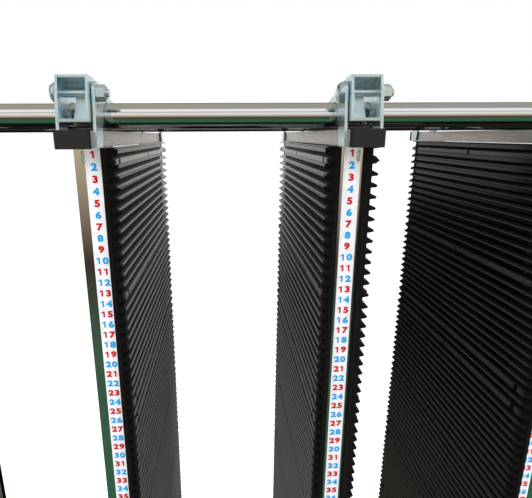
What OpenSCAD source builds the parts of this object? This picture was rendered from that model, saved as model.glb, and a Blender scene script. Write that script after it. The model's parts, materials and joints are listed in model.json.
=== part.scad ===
// Circuit board storage cart: ribbed dividers clamped on round rails in a wheeled tube frame.
// Millimetres. +X runs along the rails, +Y to the rear, +Z up. The floor is at zero.

/* [Rails] */
// outside diameter of the four rails
rail_d = 20; // [18:0.5:24]
// wall of the rail tube
rail_wall = 1.5; // [1:0.1:2.5]
// distance between the front and rear rail axes
rail_span = 252; // [230:2:340]
// height of the top rail axes above the base tubes
rail_rise = 960; // [860:5:1140]

/* [Dividers] */
// spacing of the left and middle dividers
left_bay = 215; // [180:1:320]
// spacing of the middle and right dividers
right_bay = 204; // [180:1:320]
// divider top and bottom bar width
bar_w = 25; // [22:0.5:32]
// divider top and bottom bar height
bar_h = 12.8; // [11:0.2:18]
// wall of the divider bars
bar_wall = 1.2; // [1:0.1:2]
// length of bar in front of the post face
bar_over = 35; // [34:1:60]
// depth of the divider posts
post_d = 25; // [20:0.5:32]
// wall of the divider posts
post_wall = 1.2; // [1:0.1:2]
// distance from the rail axis forward to the post face
post_lead = 9; // [5:0.5:12]
// gap between a rail and the bar beside it
bar_gap = 1.8; // [1.2:0.1:3]
// thickness of the plastic end caps
cap_t = 5; // [3:0.5:8]
// rim of the end caps beyond the bar faces
cap_rim = 0.4; // [0.2:0.1:0.5]
// length of the end cap plugs
cap_plug = 12; // [6:1:20]

/* [Panels] */
// slots in one moulded panel
slots = 25; // [15:1:30]
// average slot pitch, one number for each slot
slot_pitch = 10; // [8:0.5:14]
// moulded panels stacked on each face
panels = 3; // [1:1:3]
// thickness of the panel behind the ribs
panel_base = 2.3; // [2:0.1:5]
// height of a rib
rib_out = 6.6; // [4:0.1:8]
// extra thickness of the ribs that hold screws
rib_extra = 3.3; // [2:0.1:5]
// rib end left thin in front of the extra thickness
thick_in = 7; // [5:0.5:12]
// rib foot above its centre
rib_up = 3.7; // [2.8:0.1:4.2]
// rib foot below its centre
rib_low = 1.7; // [1.5:0.1:2.4]
// half thickness of the rib tip
rib_tip = 1.3; // [0.8:0.1:1.5]
// plain strip in front of the ribs
plain_w = 1.5; // [1:0.5:10]
// length of the tapered lead-in on each rib end
lead_in = 1.5; // [1:0.5:10]
// flange that wraps round the post face
wrap_w = 1.4; // [0.8:0.1:3]
// thickness of that flange
wrap_t = 7; // [4:0.5:9]
// gap above, below and between the panels
panel_gap = 0.4; // [0.2:0.1:1]
// screw recess diameter
recess_d = 7; // [5:0.5:8]
// blind peg hole halfway along each screw rib
peg_d = 4.5; // [3:0.5:6]
// screw line behind the post face
screw_in = 10.5; // [8:0.5:20]
// post face left bare beside an outer number strip
strip_edge = 2.2; // [1.5:0.1:4]
// number strip width
strip_w = 14; // [10:0.5:15]
// number strip thickness
strip_t = 0.6; // [0.4:0.1:1]

/* [Clamps] */
// thickness of the hooked side plates
plate_t = 2.3; // [1.5:0.1:3]
// running gap between a hook and its rail
hook_gap = 0.4; // [0.3:0.1:1]
// clamp bolt diameter
bolt_d = 6; // [5:0.5:8]
// nut width across flats
nut_af = 11; // [9:0.5:14]
// sheet thickness of the clamp lever
lever_t = 1.8; // [1.5:0.1:2.5]
// side gap between lever and plates
lever_gap = 0.8; // [0.5:0.1:1.2]
// width of the lever tongue at its neck
tongue_w = 7; // [5:0.5:9]

/* [Frame] */
// diameter of the bent end frame tubes
tube_d = 25; // [23:0.5:32]
// wall of the bent end frame tubes
tube_wall = 1.5; // [1:0.1:2.5]
// distance between the end frame axes
frame_length = 1050; // [700:5:1300]
// rise of the end frame bow above the rails
bow_rise = 90; // [75:1:200]
// centreline radius of the end frame bends
bend_r = 60; // [45:1:70]
// size of the square base tubes
base_tube = 30; // [28:1:45]
// wall of the base tubes
base_wall = 1.5; // [1:0.1:3]
// depth of the base front to back
base_depth = 430; // [410:5:600]
// deck sheet thickness
deck_t = 1.5; // [1:0.1:3]
// height of the deck rim
deck_rim = 12; // [6:1:25]

/* [Casters] */
// wheel diameter
wheel_d = 100; // [75:5:110]
// wheel tread width
wheel_w = 30; // [24:1:36]
// trail of the wheel behind the swivel axis
trail = 30; // [22:1:36]
// axle diameter
axle_d = 10; // [8:0.5:12]
// caster inset from the base ends
caster_in = 88; // [86:1:140]
// caster inset from the base sides
caster_side = 40; // [38:1:80]
// fork sheet thickness
fork_t = 3; // [2.5:0.5:5]

/* [Hidden] */
$fn = 64;
// caster and base heights from the floor up
wheel_r = wheel_d / 2;
crown_z = wheel_d + 12;
crown_t = 5;
crown_w = 40;
race_h = 13;
race_gap = 0.4;
plate_h = 3;
plate_x = 80;
plate_y = 70;
caster_h = crown_z + crown_t + race_gap + race_h;
base_low_z = caster_h;
base_top_z = base_low_z + base_tube;
// rails
rail_height = base_top_z + rail_rise;
rail_r = rail_d / 2;
rail_y = rail_span / 2;
panel_h = slots * slot_pitch;
// top bar, panel stack and bottom bar heights
bar_top_z = rail_height - rail_r - bar_gap;
bar_low_z = bar_top_z - bar_h;
stack_top_z = bar_low_z - panel_gap;
stack_low_z = stack_top_z - panels * panel_h;
foot_top_z = stack_low_z - panel_gap;
foot_low_z = foot_top_z - bar_h;
low_rail_z = foot_low_z - bar_gap - rail_r;
// front post face and bar ends
post_y = rail_y + post_lead;
bar_end_y = post_y + bar_over;
side_x = bar_w / 2;
// rib positions: screw ribs sit second from each end and at the middle
mid_rib = ceil(slots / 2);
screw_ribs = [1, mid_rib, slots - 1];
rib_pitch = (panel_h - 3 * rib_extra) / slots;
// number strip and post slot offsets
strip_off = side_x - strip_edge - strip_w / 2;
slot_off = 4.9;
slot_w = 3.2;
slot_h = 10;
slot_drop = 2.6;
// clamp layout, measured from the rail axis
bolt_lead = rail_r + 12;
bolt_rise = rail_r + 5.5;
lever_w = bar_w - 2 * lever_gap;
lip_top = -3.4;
lip_low = -5.6;
fit = 0.08;
nut_t = 6.5;
dome_h = 5;
// frame layout
tube_r = tube_d / 2;
frame_x = frame_length / 2;
base_x = frame_x + base_tube / 2;
base_y = base_depth / 2;
bow_z = rail_height + bow_rise;
caster_x = base_x - caster_in;
caster_y = base_y - caster_side;
leg_y = wheel_w / 2 + 2;
pedal_x = trail + 4;
pedal_z = wheel_d + 9;

// round bar along X, centred
module rod_x(len, r) {
  rotate([0, 90, 0])
    cylinder(h = len, r = r, center = true);
}

// round bar along Y, centred
module rod_y(len, r) {
  rotate([90, 0, 0])
    cylinder(h = len, r = r, center = true);
}

// flat shape in Y and Z, extruded along X and centred
module slab_x(t, pts) {
  translate([-t / 2, 0, 0])
    rotate([90, 0, 90])
      linear_extrude(height = t)
        polygon(pts);
}

// flat shape in X and Z, extruded along Y and centred
module slab_y(t, pts) {
  translate([0, t / 2, 0])
    rotate([90, 0, 0])
      linear_extrude(height = t)
        polygon(pts);
}

// box centred in X and Y, standing on z
module box_on(x, y, h, z) {
  translate([-x / 2, -y / 2, z])
    cube([x, y, h]);
}

// bent end frame outline at one tube radius
module hoop(r, low) {
  for (s = [-1, 1]) {
    translate([0, s * rail_y, low])
      cylinder(h = bow_z - bend_r - low, r = r);
    translate([0, s * (rail_y - bend_r), bow_z - bend_r])
      rotate([90, 0, s > 0 ? 90 : -90])
        rotate_extrude(angle = 90)
          translate([bend_r, 0])
            circle(r = r);
  }
  translate([0, 0, bow_z])
    rod_y(2 * (rail_y - bend_r), r);
}

// cross tubes of one end frame at one radius
module cross_tubes(r) {
  for (z = [low_rail_z, (low_rail_z + rail_height) / 2])
    translate([0, 0, z])
      rod_y(rail_span, r);
}

module end_frame(x) {
  translate([x, 0, 0])
    difference() {
      union() {
        hoop(tube_r, base_top_z);
        cross_tubes(rail_r);
      }
      hoop(tube_r - tube_wall, base_top_z - 1);
      cross_tubes(rail_r - rail_wall);
    }
}

// rail coped onto the end frame tubes
module rail(y, z) {
  difference() {
    translate([0, y, z])
      rod_x(2 * frame_x, rail_r);
    translate([0, y, z])
      rod_x(2 * frame_x + 1, rail_r - rail_wall);
    for (s = [-1, 1])
      translate([s * frame_x, 0, 0]) {
        translate([0, y, z])
          cylinder(h = 2 * tube_d, r = tube_r, center = true);
        cross_tubes(rail_r);
      }
  }
}

// base outline inset by d on every face
module base_ring(d) {
  in_x = 2 * (base_x - base_tube);
  in_y = 2 * (base_y - base_tube);
  difference() {
    box_on(2 * (base_x - d), 2 * (base_y - d), base_tube - 2 * d, base_low_z + d);
    box_on(in_x + 2 * d, in_y + 2 * d, base_tube, base_low_z);
  }
  for (s = [-1, 1])
    translate([s * caster_x, 0, 0])
      box_on(base_tube - 2 * d, in_y + base_tube, base_tube - 2 * d, base_low_z + d);
}

// dished deck sheet with clearance holes for the end frames
module deck_sheet() {
  x = 2 * (base_x - 1);
  y = 2 * (base_y - 1);
  difference() {
    box_on(x, y, deck_rim, base_top_z);
    box_on(x - 2 * deck_t, y - 2 * deck_t, deck_rim, base_top_z + deck_t);
    for (s = [-1, 1])
      for (t = [-1, 1])
        translate([s * frame_x, t * rail_y, base_top_z - 1])
          cylinder(h = deck_rim + 2, r = tube_r + 0.5);
  }
}

// swivel plate, bearing race and king pin
module caster_plate() {
  box_on(plate_x, plate_y, plate_h, caster_h - plate_h);
  translate([0, 0, crown_z + crown_t + race_gap])
    cylinder(h = race_h - plate_h + 0.5, r = 23);
  translate([0, 0, crown_z - 4])
    cylinder(h = race_h + crown_t + 4, r = 6);
  translate([0, 0, crown_z - 4.4])
    cylinder(h = 4, r = 10);
}

// pressed fork with two legs and ears for a brake lever
module caster_fork() {
  top = crown_z + crown_t;
  across = 4 * (leg_y + fork_t);
  leg = [
    [-20, top], [25, top], [pedal_x + 7, pedal_z + 4], [pedal_x + 7, pedal_z - 6],
    [trail + 13, wheel_r + 6], [trail + 10, wheel_r - 10], [trail - 10, wheel_r - 10],
    [trail - 14, wheel_r + 6]
  ];
  difference() {
    union() {
      for (s = [-1, 1])
        translate([0, s * (leg_y + fork_t / 2), 0])
          slab_y(fork_t, leg);
      box_on(crown_w, 2 * (leg_y + fork_t), crown_t, crown_z);
      translate([0, 0, crown_z])
        cylinder(h = crown_t, r = 25);
    }
    translate([0, 0, crown_z - 1])
      cylinder(h = crown_t + 2, r = 6 + fit);
    translate([trail, 0, wheel_r])
      rod_y(across, axle_d / 2);
    translate([pedal_x, 0, pedal_z])
      rod_y(across, 3 + fit);
  }
}

// axle bolt with a head and a nut outside the fork legs
module caster_axle() {
  out = leg_y + fork_t;
  translate([trail, 0, wheel_r]) {
    rod_y(2 * out, axle_d / 2);
    translate([0, -out - 3, 0])
      rod_y(6, axle_d * 0.8);
    translate([0, out + 4, 0])
      rotate([90, 0, 0])
        cylinder(h = 8, r = axle_d * 0.9, center = true, $fn = 6);
  }
}

// wheel with a rounded tread, dished sides and a hub
module caster_wheel() {
  w = wheel_w / 2;
  translate([trail, 0, wheel_r])
    rotate([90, 0, 0])
      rotate_extrude()
        polygon([
          [axle_d / 2 + fit, -w - 1], [axle_d / 2 + 7, -w - 1], [axle_d / 2 + 7, -w + 6],
          [wheel_r - 16, -w + 6], [wheel_r - 13, -w + 1], [wheel_r - 5, -w],
          [wheel_r - 1.5, -w + 3], [wheel_r, -w + 8],
          [wheel_r, w - 8], [wheel_r - 1.5, w - 3], [wheel_r - 5, w],
          [wheel_r - 13, w - 1], [wheel_r - 16, w - 6],
          [axle_d / 2 + 7, w - 6], [axle_d / 2 + 7, w + 1], [axle_d / 2 + fit, w + 1]
        ]);
}

// foot lever of a wheel brake on its pin
module brake_lever() {
  reach = wheel_r + 14;
  translate([pedal_x, 0, pedal_z]) {
    slab_y(2 * leg_y - 1, [
      [-5, -3.5], [6, -4.5], [reach - 24, -16], [reach - 2, -26], [reach + 2, -24],
      [reach - 18, -11], [8, 4], [-5, 4]
    ]);
    rod_y(2 * (leg_y + fork_t) + 2, 3);
  }
}

// one corner's caster piece, set at its corner
module at_corner(sx, sy) {
  translate([sx * caster_x, sy * caster_y, 0])
    children();
}

// rectangular bar tube along Y
module bar_tube(low) {
  len = 2 * bar_end_y - 2 * cap_t;
  difference() {
    box_on(bar_w, len, bar_h, low);
    box_on(bar_w - 2 * bar_wall, len + 2, bar_h - 2 * bar_wall, low + bar_wall);
  }
}

// cap with a rim and a plug for each end of one bar
module bar_caps(low) {
  play = 0.1;
  w = bar_w + 2 * cap_rim;
  h = bar_h + 2 * cap_rim;
  for (s = [-1, 1])
    mirror([0, s > 0 ? 0 : 1, 0])
      difference() {
        union() {
          translate([-w / 2, bar_end_y - cap_t, low - cap_rim])
            cube([w, cap_t, h]);
          translate([-side_x + bar_wall + play, bar_end_y - cap_t - cap_plug, low + bar_wall + play])
            cube([bar_w - 2 * (bar_wall + play), cap_plug + 1, bar_h - 2 * (bar_wall + play)]);
        }
        for (c = [-1, 1])
          translate([c * w / 2, bar_end_y, low - 10])
            rotate([0, 0, 45])
              box_on(2.4, 2.4, bar_h + 20, 0);
      }
}

// post slot beside the number strip, rounded at both ends
module post_slot(x) {
  z = stack_top_z - slot_drop;
  translate([x, -post_y, 0]) {
    translate([-slot_w / 2, -3, z - slot_h + slot_w / 2])
      cube([slot_w, 6, slot_h - slot_w]);
    for (e = [z - slot_w / 2, z - slot_h + slot_w / 2])
      translate([0, 0, e])
        rod_y(6, slot_w / 2);
  }
}

// two square posts
module post_pair() {
  h = bar_low_z - foot_top_z;
  for (s = [-1, 1])
    translate([0, s * (post_y - post_d / 2), foot_top_z])
      difference() {
        box_on(bar_w, post_d, h, 0);
        box_on(bar_w - 2 * post_wall, post_d - 2 * post_wall, h + 2, -1);
      }
}

// forked guide plates that straddle the bottom rails
module low_guides() {
  top = foot_top_z - 2;
  low = low_rail_z - 8;
  out = rail_r + 9;
  for (sx = [-1, 1])
    for (sy = [-1, 1])
      translate([sx * (side_x + plate_t / 2), sy * rail_y, 0])
        difference() {
          slab_x(plate_t, [
            [-out, top], [-out, low + 5], [-out + 5, low],
            [out - 5, low], [out, low + 5], [out, top]
          ]);
          translate([0, 0, low_rail_z])
            rod_x(20, rail_r + hook_gap);
          translate([-10, -rail_r - hook_gap, low - 1])
            cube([20, 2 * (rail_r + hook_gap), low_rail_z - low + 1]);
        }
}

// welded posts, bottom bar and bottom guides
module post_frame(slot_x) {
  difference() {
    union() {
      post_pair();
      bar_tube(foot_low_z);
      low_guides();
    }
    post_slot(slot_x);
  }
}

// number strip on the front post face
module number_strip(x, slot_x) {
  difference() {
    translate([x - strip_w / 2, -post_y - strip_t, stack_low_z])
      cube([strip_w, strip_t, stack_top_z - stack_low_z]);
    post_slot(slot_x);
  }
}

// hooked side plates over one rail, in rail axes with the front at negative Y
module hook_pair() {
  f = -rail_r;
  low = bar_low_z - rail_height + 0.2;
  back = rail_r + hook_gap;
  bump = bolt_rise + 8.5;
  outline = [
    [f - 23, low], [f - 8.5, low], [f - 4.5, -7], [f - 0.5, -2], [back, -3], [back, -8],
    [back + 5, -8], [back + 8, -5], [back + 10, 3], [back + 10, rail_r + 1.5],
    [0, rail_r + 6.5], [f, rail_r + 9.5], [f - 4, bump - 1.7], [f - 8, bump - 0.2], [f - 12, bump],
    [f - 15.5, bump - 1.2], [f - 18.2, bump - 4.5], [f - 19, bump - 10], [f - 19, 9], [f - 21, -5]
  ];
  for (s = [-1, 1])
    difference() {
      translate([s * (side_x + plate_t / 2), 0, 0])
        slab_x(plate_t, outline);
      rod_x(3 * bar_w, rail_r + hook_gap);
      translate([0, -bolt_lead, bolt_rise])
        rod_x(3 * bar_w, bolt_d / 2);
    }
}

// carriage bolt and nut of one clamp, head towards -X
module clamp_bolt() {
  out = side_x + plate_t;
  dome_r = bolt_d * 1.3;
  translate([0, -bolt_lead, bolt_rise]) {
    translate([4.5, 0, 0])
      rod_x(2 * out + nut_t + 2.5, bolt_d / 2);
    translate([-out, 0, 0])
      rotate([0, -90, 0])
        rotate_extrude()
          polygon([
            [0, 0], [dome_r, 0], [dome_r, dome_h * 0.3], [dome_r * 0.8, dome_h * 0.7],
            [dome_r * 0.45, dome_h * 0.95], [0, dome_h]
          ]);
    translate([out + nut_t / 2, 0, 0])
      rotate([0, 90, 0])
        cylinder(h = nut_t, r = nut_af / sqrt(3), center = true, $fn = 6);
  }
}

// clamp lever: two cheeks, a back web, a tongue and a lip that grips the rail
module clamp_lever() {
  f = -rail_r;
  top = rail_r + 17.5;
  t = lever_t;
  half = lever_w / 2;
  cheek = [
    [f - 26.5, lip_low], [f - 9, lip_low], [f - 7, -1], [f - 5.5, 5], [f - 5.5, top - 3.5],
    [f - 8, top - 1], [f - 20, top], [f - 22, top - 0.5], [f - 23.5, 19], [f - 25.5, 11], [f - 26.3, 2]
  ];
  web = [
    [f - 21, top], [f - 9, top - 3.5], [f - 5.5, 17.5], [f - 5.5 - t, 17.5],
    [f - 10, top - 5.5], [f - 21, top - t]
  ];
  tongue = [
    [f - 5.5, 18.5], [f - 4.5, 8.5], [f - 9, lip_low + 1], [f - 9 - t, lip_low + 1],
    [f - 4.5 - t, 8.5], [f - 5.5 - t, 18.5]
  ];
  difference() {
    union() {
      for (s = [-1, 1])
        translate([s * (half - t / 2), 0, 0])
          slab_x(t, cheek);
      slab_x(lever_w, web);
      intersection() {
        slab_x(lever_w - t, tongue);
        translate([0, f, 0])
          slab_y(2 * lever_w, [
            [-half, 19], [half, 19], [half - t, 17.5], [tongue_w / 2 + 1, 15], [tongue_w / 2, 12.5],
            [tongue_w * 0.75, lip_low], [-tongue_w * 0.75, lip_low], [-tongue_w / 2, 12.5],
            [-tongue_w / 2 - 1, 15], [t - half, 17.5]
          ]);
      }
      translate([-half, f - 26.5, lip_low])
        cube([lever_w, 26.5, lip_top - lip_low]);
    }
    rod_x(2 * lever_w, rail_r + hook_gap);
    translate([0, -bolt_lead, bolt_rise])
      rod_x(2 * lever_w, bolt_d / 2 + fit);
  }
}

// place a clamp piece on the front rail or, turned about, on the rear rail
module on_rail(side) {
  translate([0, side * rail_y, rail_height])
    mirror([0, side > 0 ? 1 : 0, 0])
      children();
}

// drop of rib i below the panel top
function rib_add(i, w) = (i >= w ? rib_extra / 2 : 0) + (i > w ? rib_extra / 2 : 0);
function rib_z(i) = -rib_pitch * i - rib_add(i, screw_ribs[0]) - rib_add(i, screw_ribs[1])
  - rib_add(i, screw_ribs[2]);
// upper and lower flank of a rib, foot to tip and tip to foot
function rib_over(z) = [
  [panel_base, z + rib_up], [panel_base + rib_out * 0.82, z + rib_tip],
  [panel_base + rib_out, z + rib_tip * 0.3]
];
function rib_under(z) = [
  [panel_base + rib_out, z - rib_tip * 0.4], [panel_base + rib_out * 0.84, z - rib_tip],
  [panel_base, z - rib_low]
];
function rib_pts(i, more) = concat(rib_over(rib_z(i) + more), rib_under(rib_z(i) - more));

// moulded panel on one post side: x outward from the post, z down from the panel top
module panel_body() {
  y0 = -post_y - wrap_t;
  depth = -2 * y0;
  top = -panel_gap / 4;
  low = -panel_h + panel_gap / 4;
  tip = panel_base + rib_out;
  ribs = [for (i = [1 : slots - 1]) each rib_pts(i, 0)];
  more = rib_extra / 2;
  side = concat([[0, top], [tip, top]], rib_under(0), ribs, rib_over(-panel_h), [[tip, low], [0, low]]);
  run = lead_in * (rib_out + 1) / rib_out;
  y_rib = y0 + plain_w;
  difference() {
    union() {
      slab_y(depth, side);
      for (i = screw_ribs)
        slab_y(depth - 2 * thick_in, concat(rib_pts(i, more),
          [[0.5, rib_z(i) - rib_low - more], [0.5, rib_z(i) + rib_up + more]]));
      for (s = [-1, 1])
        translate([-wrap_w, s > 0 ? -y0 - wrap_t : y0, low])
          cube([wrap_w + 1, wrap_t, top - low]);
    }
    for (s = [-1, 1])
      mirror([0, s > 0 ? 1 : 0, 0])
        translate([0, 0, -panel_h - 1])
          linear_extrude(height = panel_h + 2)
            polygon([
              [panel_base, y0 - 1], [tip + 1, y0 - 1], [tip + 1, y_rib + run], [panel_base, y_rib]
            ]);
    for (i = screw_ribs) {
      for (s = [-1, 1])
        translate([0, s * (post_y - screw_in), rib_z(i)]) {
          rod_x(4 * tip, 2.2);
          translate([panel_base - 0.9 + tip, 0, 0])
            rod_x(2 * tip, recess_d / 2);
        }
      translate([panel_base + tip, 0, rib_z(i)])
        rod_x(2 * tip, peg_d / 2);
    }
  }
}

// panel number k from the top on the left (-1) or right (1) side of a divider
module panel(side, k) {
  translate([0, 0, stack_top_z - k * panel_h])
    mirror([side < 0 ? 1 : 0, 0, 0])
      translate([side_x, 0, 0])
        panel_body();
}

module base_frame() {
  color("gainsboro")
    difference() {
      base_ring(0);
      base_ring(base_wall);
    }
}
module deck() { color("silver") deck_sheet(); }
module end_frame_left() { color("gainsboro") end_frame(-frame_x); }
module end_frame_right() { color("gainsboro") end_frame(frame_x); }
module rail_top_front() { color("gainsboro") rail(-rail_y, rail_height); }
module rail_top_rear() { color("gainsboro") rail(rail_y, rail_height); }
module rail_bottom_front() { color("gainsboro") rail(-rail_y, low_rail_z); }
module rail_bottom_rear() { color("gainsboro") rail(rail_y, low_rail_z); }
module caster_plates() {
  color("silver")
    for (sx = [-1, 1])
      for (sy = [-1, 1])
        at_corner(sx, sy) caster_plate();
}
module fork_front_left() { color("silver") at_corner(-1, -1) caster_fork(); }
module fork_front_right() { color("silver") at_corner(1, -1) caster_fork(); }
module fork_rear_left() { color("silver") at_corner(-1, 1) caster_fork(); }
module fork_rear_right() { color("silver") at_corner(1, 1) caster_fork(); }
module axle_front_left() { color("gray") at_corner(-1, -1) caster_axle(); }
module axle_front_right() { color("gray") at_corner(1, -1) caster_axle(); }
module axle_rear_left() { color("gray") at_corner(-1, 1) caster_axle(); }
module axle_rear_right() { color("gray") at_corner(1, 1) caster_axle(); }
module wheel_front_left() { color("dimgray") at_corner(-1, -1) caster_wheel(); }
module wheel_front_right() { color("dimgray") at_corner(1, -1) caster_wheel(); }
module wheel_rear_left() { color("dimgray") at_corner(-1, 1) caster_wheel(); }
module wheel_rear_right() { color("dimgray") at_corner(1, 1) caster_wheel(); }
module brake_front() { color("black") at_corner(-1, -1) brake_lever(); }
module brake_rear() { color("black") at_corner(-1, 1) brake_lever(); }

// a piece of the left, middle or right divider
module divider(k) {
  x = k < 0 ? -left_bay : k * right_bay;
  translate([x, 0, 0])
    children();
}
module all_caps() {
  bar_caps(bar_low_z);
  bar_caps(foot_low_z);
}
module all_hooks() {
  on_rail(-1) hook_pair();
  on_rail(1) hook_pair();
}
module all_bolts() {
  on_rail(-1) clamp_bolt();
  on_rail(1) clamp_bolt();
}

module left_bar() { color("silver") divider(-1) bar_tube(bar_low_z); }
module left_caps() { color("black") divider(-1) all_caps(); }
module left_posts() { color("gainsboro") divider(-1) post_frame(-slot_off); }
module left_strip() { color("white") divider(-1) number_strip(strip_off, -slot_off); }
module left_hooks() { color("lightsteelblue") divider(-1) all_hooks(); }
module left_bolts() { color("silver") divider(-1) all_bolts(); }
module left_lever_front() { color("slategray") divider(-1) on_rail(-1) clamp_lever(); }
module left_lever_rear() { color("slategray") divider(-1) on_rail(1) clamp_lever(); }
module left_panel_top() { color("black") divider(-1) panel(1, 0); }
module left_panel_mid() { color("black") divider(-1) panel(1, 1); }
module left_panel_low() { color("black") divider(-1) panel(1, 2); }

module middle_bar() { color("silver") divider(0) bar_tube(bar_low_z); }
module middle_caps() { color("black") divider(0) all_caps(); }
module middle_posts() { color("gainsboro") divider(0) post_frame(slot_off); }
module middle_strip() { color("white") divider(0) number_strip(0, slot_off); }
module middle_hooks() { color("lightsteelblue") divider(0) all_hooks(); }
module middle_bolts() { color("silver") divider(0) all_bolts(); }
module middle_lever_front() { color("slategray") divider(0) on_rail(-1) clamp_lever(); }
module middle_lever_rear() { color("slategray") divider(0) on_rail(1) clamp_lever(); }
module middle_panel_a_top() { color("black") divider(0) panel(-1, 0); }
module middle_panel_a_mid() { color("black") divider(0) panel(-1, 1); }
module middle_panel_a_low() { color("black") divider(0) panel(-1, 2); }
module middle_panel_b_top() { color("black") divider(0) panel(1, 0); }
module middle_panel_b_mid() { color("black") divider(0) panel(1, 1); }
module middle_panel_b_low() { color("black") divider(0) panel(1, 2); }

module right_bar() { color("silver") divider(1) bar_tube(bar_low_z); }
module right_caps() { color("black") divider(1) all_caps(); }
module right_posts() { color("gainsboro") divider(1) post_frame(slot_off); }
module right_strip() { color("white") divider(1) number_strip(-strip_off, slot_off); }
module right_hooks() { color("lightsteelblue") divider(1) all_hooks(); }
module right_bolts() { color("silver") divider(1) all_bolts(); }
module right_lever_front() { color("slategray") divider(1) on_rail(-1) clamp_lever(); }
module right_lever_rear() { color("slategray") divider(1) on_rail(1) clamp_lever(); }
module right_panel_top() { color("black") divider(1) panel(-1, 0); }
module right_panel_mid() { color("black") divider(1) panel(-1, 1); }
module right_panel_low() { color("black") divider(1) panel(-1, 2); }

base_frame();
deck();
end_frame_left();
end_frame_right();
rail_top_front();
rail_top_rear();
rail_bottom_front();
rail_bottom_rear();
caster_plates();
fork_front_left();
fork_front_right();
fork_rear_left();
fork_rear_right();
axle_front_left();
axle_front_right();
axle_rear_left();
axle_rear_right();
wheel_front_left();
wheel_front_right();
wheel_rear_left();
wheel_rear_right();
brake_front();
brake_rear();
left_bar();
left_caps();
left_posts();
left_strip();
left_hooks();
left_bolts();
left_lever_front();
left_lever_rear();
left_panel_top();
left_panel_mid();
left_panel_low();
middle_bar();
middle_caps();
middle_posts();
middle_strip();
middle_hooks();
middle_bolts();
middle_lever_front();
middle_lever_rear();
middle_panel_a_top();
middle_panel_a_mid();
middle_panel_a_low();
middle_panel_b_top();
middle_panel_b_mid();
middle_panel_b_low();
right_bar();
right_caps();
right_posts();
right_strip();
right_hooks();
right_bolts();
right_lever_front();
right_lever_rear();
right_panel_top();
right_panel_mid();
right_panel_low();
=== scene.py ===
import bpy
import json
import math
from mathutils import Matrix, Vector

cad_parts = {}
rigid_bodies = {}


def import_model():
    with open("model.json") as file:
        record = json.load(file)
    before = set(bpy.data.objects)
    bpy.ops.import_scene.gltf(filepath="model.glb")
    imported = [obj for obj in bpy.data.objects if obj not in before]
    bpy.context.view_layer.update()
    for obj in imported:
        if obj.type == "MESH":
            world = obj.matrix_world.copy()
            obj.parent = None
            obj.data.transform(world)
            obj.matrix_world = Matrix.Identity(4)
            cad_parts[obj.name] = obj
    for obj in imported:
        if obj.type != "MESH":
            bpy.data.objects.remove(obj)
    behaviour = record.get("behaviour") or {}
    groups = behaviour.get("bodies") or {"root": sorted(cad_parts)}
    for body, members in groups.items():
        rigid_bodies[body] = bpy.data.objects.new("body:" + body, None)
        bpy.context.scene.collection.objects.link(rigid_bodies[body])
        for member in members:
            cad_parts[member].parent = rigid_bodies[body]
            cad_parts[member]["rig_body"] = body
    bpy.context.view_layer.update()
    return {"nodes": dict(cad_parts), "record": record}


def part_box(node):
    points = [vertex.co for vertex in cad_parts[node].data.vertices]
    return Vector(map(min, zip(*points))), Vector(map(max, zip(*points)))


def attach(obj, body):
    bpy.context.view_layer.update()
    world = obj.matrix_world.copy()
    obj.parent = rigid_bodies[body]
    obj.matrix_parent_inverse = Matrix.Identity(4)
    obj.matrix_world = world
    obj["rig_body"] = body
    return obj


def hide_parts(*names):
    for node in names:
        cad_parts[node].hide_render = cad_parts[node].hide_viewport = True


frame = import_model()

nodes = frame["nodes"]
dividers = ("left", "middle", "right")
corners = ("front_left", "front_right", "rear_left", "rear_right")
ends = ("front", "rear")
print("frame loaded,", len(nodes), "nodes")


def linear(hexColour):
    # sRGB hex to linear colour with full alpha
    parts = [int(hexColour[i:i + 2], 16) / 255 for i in (1, 3, 5)]
    return tuple(c / 12.92 if c <= 0.04045 else ((c + 0.055) / 1.055) ** 2.4 for c in parts) + (1.0,)


def perMetre(millimetres):
    # texture scale for a pattern of that size
    return 1000.0 / millimetres


def addNode(tree, kind, settings=None, links=None):
    node = tree.nodes.new(kind)
    for key, value in (settings or {}).items():
        if isinstance(key, str) and hasattr(node, key):
            setattr(node, key, value)
        else:
            node.inputs[key].default_value = value
    for key, source in (links or {}).items():
        tree.links.new(source, node.inputs[key])
    return node


def noise(tree, place, sizeMm, detail=2.0, uneven=0.5):
    settings = {"Scale": perMetre(sizeMm), "Detail": detail, "Roughness": uneven}
    return addNode(tree, "ShaderNodeTexNoise", settings, {"Vector": place}).outputs["Fac"]


def stretched(tree, place, scale):
    return addNode(tree, "ShaderNodeMapping", {"Scale": scale}, {"Vector": place}).outputs[0]


def spread(tree, value, toRange=(0.0, 1.0), fromRange=(0.0, 1.0)):
    settings = dict(zip(("From Min", "From Max", "To Min", "To Max"), fromRange + toRange))
    return addNode(tree, "ShaderNodeMapRange", settings, {"Value": value}).outputs[0]


def blend(tree, share, first, second):
    # each colour is a hex string or a socket
    settings, links = {"data_type": "RGBA"}, {0: share}
    for key, colour in ((6, first), (7, second)):
        if isinstance(colour, str):
            settings[key] = linear(colour)
        else:
            links[key] = colour
    return addNode(tree, "ShaderNodeMix", settings, links).outputs[2]


def reckon(tree, operation, *values):
    # each value is a number or a socket
    settings, links = {"operation": operation}, {}
    for index, value in enumerate(values):
        if isinstance(value, float):
            settings[index] = value
        else:
            links[index] = value
    return addNode(tree, "ShaderNodeMath", settings, links).outputs[0]


def startMaterial(name, constants):
    material = bpy.data.materials.new(name)
    material.use_nodes = True
    tree = material.node_tree
    tree.nodes.clear()
    shader = addNode(tree, "ShaderNodeBsdfPrincipled", constants)
    addNode(tree, "ShaderNodeOutputMaterial", {}, {"Surface": shader.outputs[0]})
    place = addNode(tree, "ShaderNodeTexCoord").outputs["Object"]
    return material, tree, shader, place


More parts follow.
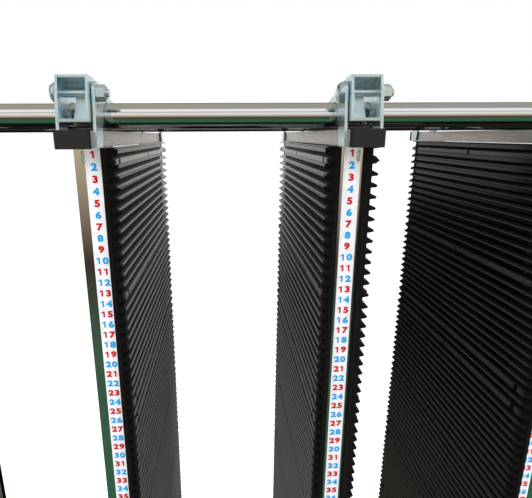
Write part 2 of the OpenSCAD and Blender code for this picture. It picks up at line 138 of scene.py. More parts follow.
def dress(tree, shader, colour, rough, height, bump):
    strength, depth = bump
    settings = {"Strength": strength, "Distance": depth}
    relief = addNode(tree, "ShaderNodeBump", settings, {"Height": height}).outputs[0]
    for source, socket in ((colour, "Base Color"), (rough, "Roughness"), (relief, "Normal")):
        tree.links.new(source, shader.inputs[socket])


# chrome plate on drawn tube: mirror bright, faint smears and a long ripple from drawing
def makeChrome(name, smooth, smeared):
    look = {"bright": "#f2f2f2", "dull": "#e0e1e2", "smearMm": 45, "smearSpan": (0.35, 0.75),
            "rippleMm": 90, "bump": (0.05, 0.0005)}
    material, tree, shader, place = startMaterial(name, {"Metallic": 1.0})
    smear = noise(tree, place, look["smearMm"], detail=6.0, uneven=0.65)
    colour = blend(tree, smear, look["bright"], look["dull"])
    rough = spread(tree, smear, (smooth, smeared), look["smearSpan"])
    ripple = noise(tree, place, look["rippleMm"])
    dress(tree, shader, colour, rough, ripple, look["bump"])
    return material


# bright zinc plate on pressed steel: cool grey, cloudy blue and straw tints, fine rolling lines
def makeZinc():
    look = {"blue": "#a4cddc", "grey": "#e8f0f2", "straw": "#e8e6d8",
            "cloudMm": 9, "cloudSpan": (0.3, 0.7), "rough": (0.2, 0.36),
            "tintMm": 20.7, "tintSpan": (0.5, 0.8), "tintShare": (0.0, 0.6),
            "lineMm": 0.7, "lineStretch": (1.0, 1.0, 0.06), "bump": (0.1, 0.00006)}
    material, tree, shader, place = startMaterial("zincPlate", {"Metallic": 0.9})
    cloud = noise(tree, place, look["cloudMm"], detail=4.0)
    cool = blend(tree, cloud, look["blue"], look["grey"])
    warmth = spread(tree, noise(tree, place, look["tintMm"]), look["tintShare"], look["tintSpan"])
    colour = blend(tree, warmth, cool, look["straw"])
    rough = spread(tree, cloud, look["rough"], look["cloudSpan"])
    lines = noise(tree, stretched(tree, place, look["lineStretch"]), look["lineMm"], detail=3.0)
    dress(tree, shader, colour, rough, lines, look["bump"])
    return material


# satin nickel plate on the flat bars and deck: soft reflections, lines along the bar
def makeSatin():
    look = {"pale": "#bdb8b4", "warm": "#a39d99", "cloudMm": 30, "rough": (0.22, 0.38),
            "lineMm": 0.5, "lineSpan": (0.3, 0.7), "lineStretch": (1.0, 0.02, 1.0), "bump": (0.08, 0.00005)}
    material, tree, shader, place = startMaterial("satinNickel", {"Metallic": 1.0})
    colour = blend(tree, noise(tree, place, look["cloudMm"], detail=5.0), look["pale"], look["warm"])
    lines = noise(tree, stretched(tree, place, look["lineStretch"]), look["lineMm"])
    rough = spread(tree, lines, look["rough"], look["lineSpan"])
    dress(tree, shader, colour, rough, lines, look["bump"])
    return material


# conductive polypropylene, moulded: near black, with painted shade in the slots and at both ends, a painted sheen on
# the flanks and a painted grey highlight on the rib noses
def makeMould():
    look = {"deep": "#040404", "pale": "#080707", "flank": "#20201e", "paintedHighlight": "#6c6a68",
            "grainMm": 0.9, "flowMm": 7, "flowStretch": (1.0, 0.08, 1.0),
            "dullEnds": 1.0, "sheen": 0.18, "bump": (0.2, 0.00008)}
    # the painted sheen and nose ranges are shares of a rib's reach, the rest are metres along the panel
    wear = {"flank": (0.12, 0.5), "nose": (0.74, 0.95), "end": (0.109, 0.102), "rearFurther": 0.03, "ribFurther": 0.03}
    material, tree, shader, place = startMaterial("blackMould", {"Specular IOR Level": 0.45})
    flow = noise(tree, stretched(tree, place, look["flowStretch"]), look["flowMm"], detail=5.0)
    blackAndShade = blend(tree, flow, look["deep"], look["pale"])
    reach = addNode(tree, "ShaderNodeAttribute", {"attribute_name": "ribReach"}).outputs["Fac"]
    outer = spread(tree, reach, fromRange=wear["flank"])
    nose = spread(tree, reach, fromRange=wear["nose"])
    # both ends stay dull and get painted shade, more in front than behind and more at the wall than out on the ribs
    along = addNode(tree, "ShaderNodeSeparateXYZ", {}, {"Vector": place}).outputs["Y"]
    front = reckon(tree, "MULTIPLY", along, -1.0)
    rear = reckon(tree, "SUBTRACT", along, wear["rearFurther"])
    span = reckon(tree, "MAXIMUM", front, rear)
    shifted = reckon(tree, "MULTIPLY_ADD", outer, -wear["ribFurther"], span)
    inside = spread(tree, shifted, fromRange=wear["end"])
    # painted sheen on the outer flanks and a painted highlight on the noses; the bare black left near the wall is
    # painted shade
    flanks = blend(tree, reckon(tree, "MULTIPLY", outer, inside), blackAndShade, look["flank"])
    colour = blend(tree, reckon(tree, "MULTIPLY", nose, inside), flanks, look["paintedHighlight"])
    rough = spread(tree, inside, (look["dullEnds"], look["sheen"]))
    dress(tree, shader, colour, rough, noise(tree, place, look["grainMm"]), look["bump"])
    return material


# low density polyethylene caps: dark grey black, leathery spark grain
def makeCap():
    look = {"deep": "#0f0f0f", "pale": "#1d1d1e", "grainMm": 0.7, "rough": (0.5, 0.68), "bump": (0.3, 0.0001)}
    material, tree, shader, place = startMaterial("grainedCap", {})
    cells = addNode(tree, "ShaderNodeTexVoronoi", {"Scale": perMetre(look["grainMm"])}, {"Vector": place})
    grain = cells.outputs["Distance"]
    colour = blend(tree, grain, look["deep"], look["pale"])
    rough = spread(tree, grain, look["rough"])
    dress(tree, shader, colour, rough, grain, look["bump"])
    return material


# printed vinyl film and its inks: a slight gloss, faint handling marks
def makeFilm(name, clean, soiled, shine):
    look = {"markMm": 6, "markSpan": (0.45, 0.8), "rough": (0.3, 0.5), "coatShare": 0.3, "coatRough": 0.2,
            "fibreMm": 0.8, "bump": (0.06, 0.00003)}
    constants = {"Specular IOR Level": shine, "Coat Weight": shine * look["coatShare"],
                 "Coat Roughness": look["coatRough"]}
    material, tree, shader, place = startMaterial(name, constants)
    mark = noise(tree, place, look["markMm"], detail=6.0)
    colour = blend(tree, spread(tree, mark, fromRange=look["markSpan"]), clean, soiled)
    rough = spread(tree, mark, look["rough"])
    dress(tree, shader, colour, rough, noise(tree, place, look["fibreMm"]), look["bump"])
    return material


# conductive rubber tyre and black oxide steel: matt, slightly dusty
def makeDusty(name, deep, dust, metal, dull):
    look = {"dustMm": 14, "dustSpan": (0.4, 0.75), "dustShare": (0.0, 0.7), "roughLess": 0.12, "roughMore": 0.1,
            "grainMm": 1.2, "bump": (0.15, 0.0001)}
    material, tree, shader, place = startMaterial(name, {"Metallic": metal})
    cloud = noise(tree, place, look["dustMm"], detail=6.0, uneven=0.7)
    colour = blend(tree, spread(tree, cloud, look["dustShare"], look["dustSpan"]), deep, dust)
    rough = spread(tree, cloud, (dull - look["roughLess"], dull + look["roughMore"]))
    dress(tree, shader, colour, rough, noise(tree, place, look["grainMm"]), look["bump"])
    return material


finishes = {
    "chrome_tube": makeChrome("chromePlate", 0.035, 0.11),
    "zinc_plate": makeZinc(),
    "bar_steel": makeSatin(),
    "black_mould": makeMould(),
    "cap_black": makeCap(),
    "strip_white": makeFilm("printedFilm", "#dadbe0", "#cccdd3", 0.5),
    "wheel_rubber": makeDusty("tyreRubber", "#1b1b1c", "#2b2a29", 0.0, 0.7),
}
inkRed = makeFilm("redInk", "#b4001a", "#a4041c", 0.12)
inkBlue = makeFilm("blueInk", "#0a8ccc", "#1292ce", 0.12)
baseChrome = makeChrome("dullChromePlate", 0.36, 0.5)
screwBlack = makeDusty("blackOxide", "#191919", "#35332f", 0.8, 0.42)

slotOf = {part["node"]: part["material_slot"] for part in frame["record"]["subparts"]}
bodyOf = {name: item["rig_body"] for name, item in nodes.items()}
for name, item in nodes.items():
    item.data.materials.clear()
    # the square base tubes are polished less than the rails
    item.data.materials.append(baseChrome if name == "base_frame" else finishes[slotOf[name]])
print("finishes made,", len(bpy.data.materials))


def pickOnly(item):
    if bpy.context.object and bpy.context.object.mode != "OBJECT":
        bpy.ops.object.mode_set(mode="OBJECT")
    bpy.ops.object.select_all(action="DESELECT")
    item.select_set(True)
    bpy.context.view_layer.objects.active = item


def settle(item, name, material, body):
    # places into the mesh, then material, body and finish slot
    pickOnly(item)
    bpy.ops.object.transform_apply(location=True, rotation=True, scale=True)
    item.name = name
    item.data.name = name
    item.data.materials.clear()
    item.data.materials.append(material)
    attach(item, body)
    return item


def joinAll(items, name):
    pickOnly(items[0])
    for item in items:
        item.select_set(True)
    if len(items) > 1:
        bpy.ops.object.join()
    items[0].name = name
    return items[0]


def stamp(item, where):
    # a copy with its own mesh, set by a matrix
    twin = item.copy()
    twin.data = item.data.copy()
    bpy.context.scene.collection.objects.link(twin)
    twin.matrix_world = where
    return twin


def turned(degrees, axis):
    return Matrix.Rotation(math.radians(degrees), 4, axis)


def middleOf(name):
    low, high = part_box(name)
    return (low + high) / 2


def smoothBy(degrees):
    bpy.ops.object.shade_smooth_by_angle(angle=math.radians(degrees))


def addCylinder(sides, radius, depth, at, turn=(0, 0, 0)):
    bpy.ops.object.select_all(action="DESELECT")
    bpy.ops.mesh.primitive_cylinder_add(vertices=sides, radius=radius, depth=depth, location=at, rotation=turn)
    return bpy.context.object


def addBlock(size, at, edge):
    # a box with rounded edges
    bpy.ops.object.select_all(action="DESELECT")
    bpy.ops.mesh.primitive_cube_add(size=1, location=at)
    block = bpy.context.object
    block.scale = size
    bpy.ops.object.transform_apply(location=False, rotation=False, scale=True)
    bpy.ops.object.mode_set(mode="EDIT")
    bpy.ops.mesh.select_all(action="SELECT")
    bpy.ops.mesh.bevel(offset=edge, segments=2, affect="EDGES")
    bpy.ops.object.mode_set(mode="OBJECT")
    return block


def editFaces(item, *sides):
    # edit mode with the level faces picked, side 1 for those that look up and -1 for down
    nearlyLevel = 0.9
    for face in item.data.polygons:
        face.select = any(side * face.normal.z > nearlyLevel for side in sides)
    bpy.ops.object.mode_set(mode="EDIT")
    bpy.ops.mesh.select_mode(type="FACE")


# pressed and moulded pieces get their small edge radius on a merged copy of the solid
edgeRadius = {"panel": 0.00035, "lever": 0.0003, "hooks": 0.0003, "caps": 0.0006, "bar": 0.0004,
              "posts": 0.0004, "brake": 0.0008, "fork": 0.0005, "deck": 0.0004, "bolts": 0.0002}
softLook = {"merge": 0.00001, "flatDegrees": 0.6, "sharpDegrees": 32, "smoothDegrees": 38}
# measures of the moulded panel, and how strong the painted highlight and sheen are on the ribs of each divider
ribLook = {"wall": 0.0023, "height": 0.0066, "slots": 25, "panelHeight": 0.250,
           "thickRibs": (1, 13, 24), "thickExtra": 0.0033,
           "paintedHighlight": {"left": 1.0, "middle": 1.0, "right": 0.77}}


def markReach(piece, name):
    # 0 at the panel's wall, 1 at the rib tips; a divider with less painted highlight tops out lower
    side = name.split("_")[0]
    barLow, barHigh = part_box(side + "_bar")
    wall = (barHigh.x - barLow.x) / 2 + ribLook["wall"]
    reach = piece.data.attributes.new("ribReach", "FLOAT", "POINT")
    for corner, mark in zip(piece.data.vertices, reach.data):
        out = abs(corner.co.x - (barLow.x + barHigh.x) / 2) - wall
        mark.value = min(max(out / ribLook["height"], 0.0), 1.0) * ribLook["paintedHighlight"][side]


def softened(name, radius):
    source = nodes[name]
    piece = source.copy()
    piece.data = source.data.copy()
    bpy.context.scene.collection.objects.link(piece)
    for key in list(piece.keys()):
        del piece[key]
    piece.parent = None
    piece.matrix_world = Matrix.Identity(4)
    pickOnly(piece)
    if piece.data.has_custom_normals:
        bpy.ops.mesh.customdata_custom_splitnormals_clear()
    bpy.ops.object.mode_set(mode="EDIT")
    bpy.ops.mesh.select_mode(type="EDGE")
    bpy.ops.mesh.select_all(action="SELECT")
    bpy.ops.mesh.remove_doubles(threshold=softLook["merge"])
    bpy.ops.mesh.dissolve_limited(angle_limit=math.radians(softLook["flatDegrees"]))
    bpy.ops.mesh.select_all(action="DESELECT")
    bpy.ops.mesh.edges_select_sharp(sharpness=math.radians(softLook["sharpDegrees"]))
    bpy.ops.mesh.bevel(offset=radius, segments=2, affect="EDGES", clamp_overlap=True)
    bpy.ops.object.mode_set(mode="OBJECT")
    smoothBy(softLook["smoothDegrees"])
    weigh = piece.modifiers.new("flatFaces", "WEIGHTED_NORMAL")
    weigh.keep_sharp = True
    bpy.ops.object.modifier_apply(modifier="flatFaces")
    if "panel" in name:
        markReach(piece, name)
    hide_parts(name)
    return settle(piece, name + "_soft", finishes[slotOf[name]], bodyOf[name])


softCount = 0
for name in sorted(nodes):
    for word, radius in edgeRadius.items():
        if word in name.split("_"):
            softened(name, radius)
            softCount += 1
print("edges rounded on", softCount, "pieces")


# slot numbers, one for each slot, odd red and even blue; glyph values are shares of the font's size
numbers = {"count": 75, "pitch": 0.010, "height": 0.0065, "widen": 1.2, "advance": 0.0056, "proud": 0.00006,
           "glyphBold": 0.06, "glyphFoot": 0.039, "curveSteps": 3,
           "oneOutline": ((0.09, -0.038), (0.09, 0.72), (-0.05, 0.72), (-0.25, 0.57),
                          (-0.25, 0.43), (-0.08, 0.52), (-0.08, -0.038))}


def heights(item):
    return [corner.co.y for corner in item.data.vertices]


def makeDigits():
    digits = {}
    for digit in "02345678":
        bpy.ops.object.select_all(action="DESELECT")
        bpy.ops.object.text_add(location=(0, 0, 0))
        glyph = bpy.context.object
        glyph.data.body = digit
        glyph.data.offset = numbers["glyphBold"]
        glyph.data.align_x = "CENTER"
        glyph.data.resolution_u = numbers["curveSteps"]
        bpy.ops.object.convert(target="MESH")
        digits[digit] = bpy.context.object
    # the nine is the six turned over
    pickOnly(digits["6"])
    bpy.ops.object.duplicate()
    nine = bpy.context.object
    turnAbout = min(heights(nine)) + max(heights(nine))
    for corner in nine.data.vertices:
        corner.co = (-corner.co.x, turnAbout - corner.co.y, 0)
    digits["9"] = nine
    # the one is a bar with a slanting flag
    bpy.ops.object.select_all(action="DESELECT")
    bpy.ops.mesh.primitive_circle_add(vertices=len(numbers["oneOutline"]), fill_type="NGON", location=(0, 0, 0))
    one = bpy.context.object
    for corner, (x, y) in zip(one.data.vertices, numbers["oneOutline"]):
        corner.co = (x, y, 0)
    pickOnly(one)
    bpy.ops.object.mode_set(mode="EDIT")
    bpy.ops.mesh.select_all(action="SELECT")
    bpy.ops.mesh.normals_make_consistent(inside=False)
    bpy.ops.object.mode_set(mode="OBJECT")
    digits["1"] = one
    return digits


digits = makeDigits()
grow = numbers["height"] / (max(heights(digits["8"])) - min(heights(digits["8"])))
glyphSize = Matrix.Diagonal((grow * numbers["widen"], grow, grow, 1.0))
for side in dividers:
    low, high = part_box(side + "_strip")
    for first, ink, inkName in ((1, inkRed, "red"), (2, inkBlue, "blue")):
        copies = []
        for number in range(first, numbers["count"] + 1, 2):
            label = str(number)
            z = high.z - numbers["pitch"] * (number - 0.5) - numbers["height"] / 2 + numbers["glyphFoot"] * grow
            for index, digit in enumerate(label):
                x = (low.x + high.x) / 2 + (index - (len(label) - 1) / 2) * numbers["advance"]
                where = Matrix.Translation((x, low.y - numbers["proud"], z)) @ turned(90, "X") @ glyphSize
                copies.append(stamp(digits[digit], where))
        settle(joinAll(copies, "joined"), side + "_numbers_" + inkName, ink, side + "_divider")
for glyph in digits.values():
    bpy.data.objects.remove(glyph)
print("numbers printed on", len(dividers), "strips")


# cross recess screws in the round pockets of the thick ribs
screwLook = {"sides": 24, "headRadius": 0.0030, "headHeight": 0.0021, "edge": 0.0009, "smoothDegrees": 35,
             "cross": (0.0034, 0.0008, 0.0024), "seat": 0.0015, "back": 0.0105, "turnStep": 0.5}


def makeScrew():
    headHeight = screwLook["headHeight"]
    screw = addCylinder(screwLook["sides"], screwLook["headRadius"], headHeight, (0, 0, headHeight / 2))
    bpy.ops.object.mode_set(mode="EDIT")
    bpy.ops.mesh.select_mode(type="FACE")
    bpy.ops.mesh.select_all(action="DESELECT")
    bpy.ops.object.mode_set(mode="OBJECT")
    editFaces(screw, 1)
    bpy.ops.mesh.bevel(offset=screwLook["edge"], segments=3, affect="EDGES")
    bpy.ops.object.mode_set(mode="OBJECT")
    # the driver cross is cut with two crossed blocks
    for turn in (0, 90):
        bpy.ops.mesh.primitive_cube_add(size=1, location=(0, 0, headHeight), rotation=(0, 0, math.radians(turn)))
        cutter = bpy.context.object
        cutter.scale = screwLook["cross"]
        pickOnly(screw)
        cut = screw.modifiers.new("cross", "BOOLEAN")
        cut.operation = "DIFFERENCE"
        cut.object = cutter
        bpy.ops.object.modifier_apply(modifier="cross")
        bpy.data.objects.remove(cutter)
    pickOnly(screw)
    smoothBy(screwLook["smoothDegrees"])
    return screw


def ribDrop(index):
    # height of a rib below its panel's top, thick ribs included
    extra, thickRibs = ribLook["thickExtra"], ribLook["thickRibs"]
    drop = index * (ribLook["panelHeight"] - len(thickRibs) * extra) / ribLook["slots"]
    for thick in thickRibs:
        drop += (extra / 2 if index >= thick else 0) + (extra / 2 if index > thick else 0)
    return drop


screw = makeScrew()
for side in dividers:
    barLow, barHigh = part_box(side + "_bar")
    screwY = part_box(side + "_strip")[1].y + screwLook["back"]
    copies = []
    for name in sorted(nodes):
        if not name.startswith(side + "_panel"):
            continue
        outward = 1 if middleOf(name).x > (barLow.x + barHigh.x) / 2 else -1
        faceX = (barHigh.x if outward > 0 else barLow.x) + outward * screwLook["seat"]
        for rib in ribLook["thickRibs"]:
            for y in (screwY, -screwY):
                where = Matrix.Translation((faceX, y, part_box(name)[1].z - ribDrop(rib)))
                where = where @ turned(90 * outward, "Y")
                copies.append(stamp(screw, where @ Matrix.Rotation(screwLook["turnStep"] * rib, 4, "Z")))
    settle(joinAll(copies, "joined"), side + "_screws", screwBlack, side + "_divider")
bpy.data.objects.remove(screw)
print("screws set")


# weld beads where rails and cross tubes meet the legs and legs meet the deck, rippled by hand welding
weldLook = {"tube": 0.010, "leg": 0.0125, "bead": 0.0015, "ripples": 26, "ripple": 0.16,
            "around": 104, "across": 10, "deckThick": 0.0015, "footRise": 0.0004}


def makeBead(ringRadius, saddle):
    bpy.ops.object.select_all(action="DESELECT")
    bpy.ops.mesh.primitive_torus_add(major_radius=ringRadius, minor_radius=weldLook["bead"],
                                     major_segments=weldLook["around"], minor_segments=weldLook["across"],
                                     location=(0, 0, 0))
    bead = bpy.context.object
    for corner in bead.data.vertices:
        turn = math.atan2(corner.co.y, corner.co.x)
        middle = Vector((math.cos(turn), math.sin(turn), 0)) * ringRadius
        swell = 1 + weldLook["ripple"] * math.sin(weldLook["ripples"] * turn)
        corner.co = middle + (corner.co - middle) * swell
        if saddle:
            corner.co.z += math.sqrt(weldLook["leg"] ** 2 - (ringRadius * math.sin(turn)) ** 2)
    pickOnly(bead)
    bpy.ops.object.shade_smooth()
    return bead


# leg axes from the end frames, rail heights from the rails
legX = middleOf("end_frame_right").x
legY = middleOf("rail_top_rear").y
highZ = middleOf("rail_top_rear").z
lowZ = middleOf("rail_bottom_rear").z
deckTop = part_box("base_frame")[1].z + weldLook["deckThick"]
saddleBead = makeBead(weldLook["tube"], True)
footBead = makeBead(weldLook["leg"], False)
copies = []
for sx in (-1, 1):
    for sy in (-1, 1):
        for z in (lowZ, highZ):
            # the bead's own axis points along the rail, away from the leg
            where = Matrix.Translation((sx * legX, sy * legY, z)) @ turned(-90 * sx, "Y")
            copies.append(stamp(saddleBead, where))
        for z in (lowZ, (lowZ + highZ) / 2):
            where = Matrix.Translation((sx * legX, sy * legY, z)) @ turned(90 * sy, "X")
            copies.append(stamp(saddleBead, where @ turned(90, "Z")))
        foot = (sx * legX, sy * legY, deckTop + weldLook["footRise"])
        copies.append(stamp(footBead, Matrix.Translation(foot)))
settle(joinAll(copies, "joined"), "weld_beads", finishes["chrome_tube"], "frame")
bpy.data.objects.remove(saddleBead)
bpy.data.objects.remove(footBead)
print("welds laid,", len(copies))


# hexagon bolts with washers that hold the caster plates; a dish is the inset and depth of a step in the head
boltLook = {"across": 0.010, "head": 0.0036, "dishes": ((0.0009, 0.0005), (0.0012, -0.0003)),
            "washer": 0.0068, "washerThick": 0.0009, "washerEdge": 0.0002, "washerSides": 32,
            "smoothDegrees": 25, "spread": (0.031, 0.026), "trail": 0.030, "plateThick": 0.003}


def makePlateBolt():
    washerThick, headHeight = boltLook["washerThick"], boltLook["head"]
    washer = addCylinder(boltLook["washerSides"], boltLook["washer"], washerThick, (0, 0, -washerThick / 2))
    bpy.ops.object.mode_set(mode="EDIT")
    bpy.ops.mesh.bevel(offset=boltLook["washerEdge"], segments=2, affect="EDGES")
    bpy.ops.object.mode_set(mode="OBJECT")
    hexRadius = boltLook["across"] / math.sqrt(3)
    head = addCylinder(6, hexRadius, headHeight, (0, 0, -washerThick - headHeight / 2))
    editFaces(head, -1)
    for thickness, depth in boltLook["dishes"]:
        bpy.ops.mesh.inset(thickness=thickness, depth=depth)
    bpy.ops.object.mode_set(mode="OBJECT")
    bolt = joinAll([washer, head], "plateBolt")
    smoothBy(boltLook["smoothDegrees"])
    return bolt


plateBolt = makePlateBolt()
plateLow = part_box("caster_plates")[1].z - boltLook["plateThick"]
copies = []
for corner in corners:
    hub = middleOf("wheel_" + corner)
    for dx in (-1, 1):
        for dy in (-1, 1):
            x = hub.x - boltLook["trail"] + dx * boltLook["spread"][0]
            y = hub.y + dy * boltLook["spread"][1]
            copies.append(stamp(plateBolt, Matrix.Translation((x, y, plateLow))))
settle(joinAll(copies, "joined"), "caster_bolts", finishes["zinc_plate"], "frame")
bpy.data.objects.remove(plateBolt)
print("caster bolts set,", len(copies))


# pressed rim discs with spokes in both sides of each wheel
rimLook = {"sides": 60, "outer": 0.0335, "inner": 0.0128, "thick": 0.0016, "seat": 0.0091, "merge": 0.00001,
           "spokes": 5, "spokeWidth": 0.006, "spokeHeight": 0.0022, "spokeShort": 0.004,
           "spokeEdge": 0.0008, "spokeRise": 0.0003, "smoothDegrees": 30}


def makeRim():
    outer, inner, thick = rimLook["outer"], rimLook["inner"], rimLook["thick"]
    disc = addCylinder(rimLook["sides"], outer, thick, (0, 0, thick / 2))
    editFaces(disc, 1, -1)
    bpy.ops.mesh.inset(thickness=outer - inner)
    bpy.ops.mesh.bridge_edge_loops()
    bpy.ops.mesh.select_all(action="SELECT")
    bpy.ops.mesh.remove_doubles(threshold=rimLook["merge"])
    bpy.ops.mesh.normals_make_consistent(inside=False)
    bpy.ops.object.mode_set(mode="OBJECT")
    made = [disc]
    size = (outer - inner - rimLook["spokeShort"], rimLook["spokeWidth"], rimLook["spokeHeight"])
    out = Matrix.Translation(((outer + inner) / 2, 0, thick + rimLook["spokeRise"]))
    for index in range(rimLook["spokes"]):
        spoke = addBlock(size, (0, 0, 0), rimLook["spokeEdge"])
        spoke.matrix_world = turned(index * 360 / rimLook["spokes"], "Z") @ out
        made.append(spoke)
    rim = joinAll(made, "rim")
    smoothBy(rimLook["smoothDegrees"])
    return rim


rim = makeRim()
for corner in corners:
    hub = middleOf("wheel_" + corner)
    copies = []
    for facing in (-1, 1):
        where = Matrix.Translation((hub.x, hub.y + facing * rimLook["seat"], hub.z))
        copies.append(stamp(rim, where @ turned(-90 * facing, "X")))
    settle(joinAll(copies, "joined"), "rim_" + corner, finishes["zinc_plate"], corner + "_wheel")
bpy.data.objects.remove(rim)
print("rims pressed")


# rubber ridges on the foot levers, between two points measured from the lever's pivot
gripLook = {"sides": 14, "length": 0.027, "radius": 0.0011, "edge": 0.0006, "at": (0.12, 0.36, 0.60, 0.84),
            "from": (0.046, -0.011), "to": (0.066, -0.024), "pivotOff": 0.004, "pivotRise": 0.009}
for end in ends:
    pivotX = middleOf("wheel_" + end + "_left").x + gripLook["pivotOff"]
    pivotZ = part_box("wheel_" + end + "_left")[1].z + gripLook["pivotRise"]
    copies = []
    for share in gripLook["at"]:
        x = pivotX + gripLook["from"][0] + share * (gripLook["to"][0] - gripLook["from"][0])
        z = pivotZ + gripLook["from"][1] + share * (gripLook["to"][1] - gripLook["from"][1])
        spot = (x, middleOf("brake_" + end).y, z)
        ridge = addCylinder(gripLook["sides"], gripLook["radius"], gripLook["length"], spot, (math.radians(90), 0, 0))
        editFaces(ridge, 1, -1)
        bpy.ops.mesh.bevel(offset=gripLook["edge"], segments=3, affect="EDGES")
        bpy.ops.object.mode_set(mode="OBJECT")
        bpy.ops.object.shade_smooth()
        copies.append(ridge)
    settle(joinAll(copies, "joined"), "grip_" + end, finishes["wheel_rubber"], end + "_brake")
print("foot levers ridged")


# stop collars on the clamp nuts and bright tabs behind the post slots
collarLook = {"sides": 32, "outer": 0.0047, "length": 0.0017, "edge": 0.0007, "smoothDegrees": 35,
              "nutEnd": 0.0213, "boltLead": 0.022, "boltRise": 0.0155}
tabLook = {"off": 0.0049, "drop": 0.0076, "wall": 0.0013, "size": (0.0056, 0.0008, 0.0130), "edge": 0.0002}


def makeCollar():
    length = collarLook["length"]
    collar = addCylinder(collarLook["sides"], collarLook["outer"], length, (0, 0, length / 2))
    editFaces(collar, 1)
    bpy.ops.mesh.bevel(offset=collarLook["edge"], segments=3, affect="EDGES")
    bpy.ops.object.mode_set(mode="OBJECT")
    smoothBy(collarLook["smoothDegrees"])
    return collar


collar = makeCollar()
for side in dividers:
    middleX = middleOf(side + "_bar").x
    copies = []
    for facing in (-1, 1):
        boltY = facing * (legY + collarLook["boltLead"])
        where = Matrix.Translation((middleX + collarLook["nutEnd"], boltY, highZ + collarLook["boltRise"]))
        copies.append(stamp(collar, where @ turned(90, "Y")))
    settle(joinAll(copies, "joined"), side + "_collars", finishes["zinc_plate"], side + "_divider")
    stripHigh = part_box(side + "_strip")[1]
    slotX = middleX + (-tabLook["off"] if side == "left" else tabLook["off"])
    tabY = stripHigh.y + tabLook["wall"] + tabLook["size"][1] / 2
    tab = addBlock(tabLook["size"], (slotX, tabY, stripHigh.z - tabLook["drop"]), tabLook["edge"])
    settle(tab, side + "_slot_tab", finishes["zinc_plate"], side + "_divider")
bpy.data.objects.remove(collar)
print("collars and slot tabs set")


# screws that hold the deck down on the base tubes; along the sides they stand at shares of the legs' distance
deckLook = {"along": (-0.9, -0.54, -0.18, 0.18, 0.54, 0.9), "sideY": 0.200, "endY": (-0.045, 0.045),
            "grow": 1.35, "turnStep": 0.7}
screw = makeScrew()
copies = []
spots = [(share * legX, sy * deckLook["sideY"]) for share in deckLook["along"] for sy in (-1, 1)]
spots += [(sx * legX, y) for sx in (-1, 1) for y in deckLook["endY"]]
for count, (x, y) in enumerate(spots):
    where = Matrix.Translation((x, y, deckTop)) @ Matrix.Rotation(deckLook["turnStep"] * count, 4, "Z")
    copies.append(stamp(screw, where @ Matrix.Scale(deckLook["grow"], 4)))
settle(joinAll(copies, "joined"), "deck_screws", finishes["zinc_plate"], "frame")
bpy.data.objects.remove(screw)
print("deck screwed down")


# matt pale floor, just below the wheels and not mirrored in the bright metal
stageLook = {"pale": "#f4f4f2", "speck": "#efefec", "speckMm": 400, "size": 60.0, "below": 0.0005}
bpy.ops.object.select_all(action="DESELECT")
bpy.ops.mesh.primitive_plane_add(size=stageLook["size"], location=(0, 0, -stageLook["below"]))
floor = bpy.context.object
floor.name = "floor"
material, tree, shader, place = startMaterial("paleFloor", {"Roughness": 0.8})
specks = noise(tree, place, stageLook["speckMm"], detail=3.0)
colour = blend(tree, specks, stageLook["pale"], stageLook["speck"])
tree.links.new(colour, shader.inputs["Base Color"])
floor.data.materials.append(material)
floor.visible_glossy = False

# the size is metres for an area lamp and radians for the sun
lamps = {
    "keyRight": {"kind": "AREA", "at": (0.95, 0.25, 2.3), "aim": (-0.2, 0.0, 0.9), "size": 0.8, "power": 26},
    "frontSoft": {"kind": "AREA", "at": (-0.3, -1.9, 1.95), "aim": (-0.1, 0.0, 0.95), "size": 0.9, "power": 23},
    "floorWash": {"kind": "SUN", "at": (0.0, 0.0, 6.0), "aim": (0.0, 0.0, 0.0), "size": 0.6, "power": 3.0},
}
for name, lamp in lamps.items():
    data = bpy.data.lights.new(name, lamp["kind"])
    data.energy = lamp["power"]
    if lamp["kind"] == "AREA":
        data.size = lamp["size"]
    else:
        data.angle = lamp["size"]
    item = bpy.data.objects.new(name, data)
    bpy.context.scene.collection.objects.link(item)
    item.location = lamp["at"]
    item.visible_glossy = False  # the room, not the lamps, shows in the bright metal
    item.rotation_euler = (Vector(lamp["aim"]) - Vector(lamp["at"])).to_track_quat("-Z", "Y").to_euler()

# the room that the bright metal mirrors, by share of a turn about the rails:
# 0 is behind, 0.25 below, 0.5 in front, 0.75 above
roomBands = [
    (0.0, "#e9e6e2"), (0.014, "#dcd9d2"), (0.03, "#080808"), (0.30, "#050605"), (0.35, "#36684c"),
    (0.42, "#425b49"), (0.45, "#40342a"), (0.50, "#c9b79c"), (0.525, "#e6e4dc"), (0.56, "#f4f6f2"),
    (0.585, "#a8a4a2"), (0.60, "#f6f6f6"), (0.645, "#ffffff"), (0.665, "#d6c8ec"), (0.68, "#a8a396"),
    (0.885, "#a8a392"), (0.90, "#1a1a18"), (0.955, "#1a1a18"), (0.968, "#f4f2f6"), (1.0, "#f4f2f0"),
]
world = bpy.data.worlds.new("studio")
bpy.context.scene.world = world
world.use_nodes = True
tree = world.node_tree
tree.nodes.clear()
heading = addNode(tree, "ShaderNodeTexCoord").outputs["Generated"]
split = addNode(tree, "ShaderNodeSeparateXYZ", {}, {"Vector": heading})
angle = reckon(tree, "ARCTAN2", split.outputs["Z"], reckon(tree, "MULTIPLY", split.outputs["Y"], -1.0))
aroundRails = spread(tree, angle, fromRange=(-math.pi, math.pi))
bands = addNode(tree, "ShaderNodeValToRGB", {}, {"Fac": aroundRails})
steps = bands.color_ramp.elements
for position, tone in roomBands[1:-1]:
    steps.new(position)
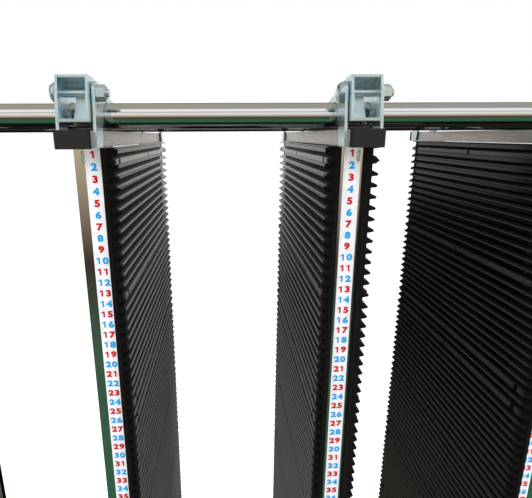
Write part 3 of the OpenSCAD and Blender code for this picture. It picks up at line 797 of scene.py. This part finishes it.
for step, (position, tone) in zip(steps, roomBands):
    step.position = position
    step.color = linear(tone)
room = addNode(tree, "ShaderNodeBackground", {"Strength": 1.0}, {"Color": bands.outputs["Color"]})
sweep = addNode(tree, "ShaderNodeBackground", {"Color": (1.0, 1.0, 1.0, 1.0), "Strength": 1.0})
seen = addNode(tree, "ShaderNodeLightPath").outputs["Is Camera Ray"]
both = addNode(tree, "ShaderNodeMixShader", {}, {0: seen, 1: room.outputs[0], 2: sweep.outputs[0]})
addNode(tree, "ShaderNodeOutputWorld", {}, {"Surface": both.outputs[0]})

# the photograph's camera: place in metres, turns in radians, focal length and image in pixels
cameraLook = {"at": (-0.1057, -0.4544, 1.1044), "pitch": 0.2317, "yaw": -0.0294, "roll": -0.0053,
              "focal": 384.5, "middle": (236.2, 226.4), "image": (532, 498),
              "sensorMm": 36.0, "clip": (0.02, 200.0)}
pitch, yaw, roll = cameraLook["pitch"], cameraLook["yaw"], cameraLook["roll"]
ahead = Vector((-math.sin(yaw) * math.cos(pitch), math.cos(yaw) * math.cos(pitch), -math.sin(pitch)))
right = Vector((math.cos(yaw), math.sin(yaw), 0.0))
up = right.cross(ahead)
rolledRight = math.cos(roll) * right + math.sin(roll) * up
rolledUp = -math.sin(roll) * right + math.cos(roll) * up
pose = Matrix((rolledRight, rolledUp, -ahead)).transposed().to_4x4()
pose.translation = Vector(cameraLook["at"])
data = bpy.data.cameras.new("photoCamera")
camera = bpy.data.objects.new("photoCamera", data)
bpy.context.scene.collection.objects.link(camera)
camera.matrix_world = pose
wide, tall = cameraLook["image"]
data.sensor_fit = "HORIZONTAL"
data.sensor_width = cameraLook["sensorMm"]
data.lens = cameraLook["focal"] * cameraLook["sensorMm"] / wide
data.shift_x = (wide / 2 - cameraLook["middle"][0]) / wide
data.shift_y = (cameraLook["middle"][1] - tall / 2) / wide
data.clip_start, data.clip_end = cameraLook["clip"]
bpy.context.scene.camera = camera
bpy.context.scene.view_settings.view_transform = "Standard"
print("stage, lights and camera set")
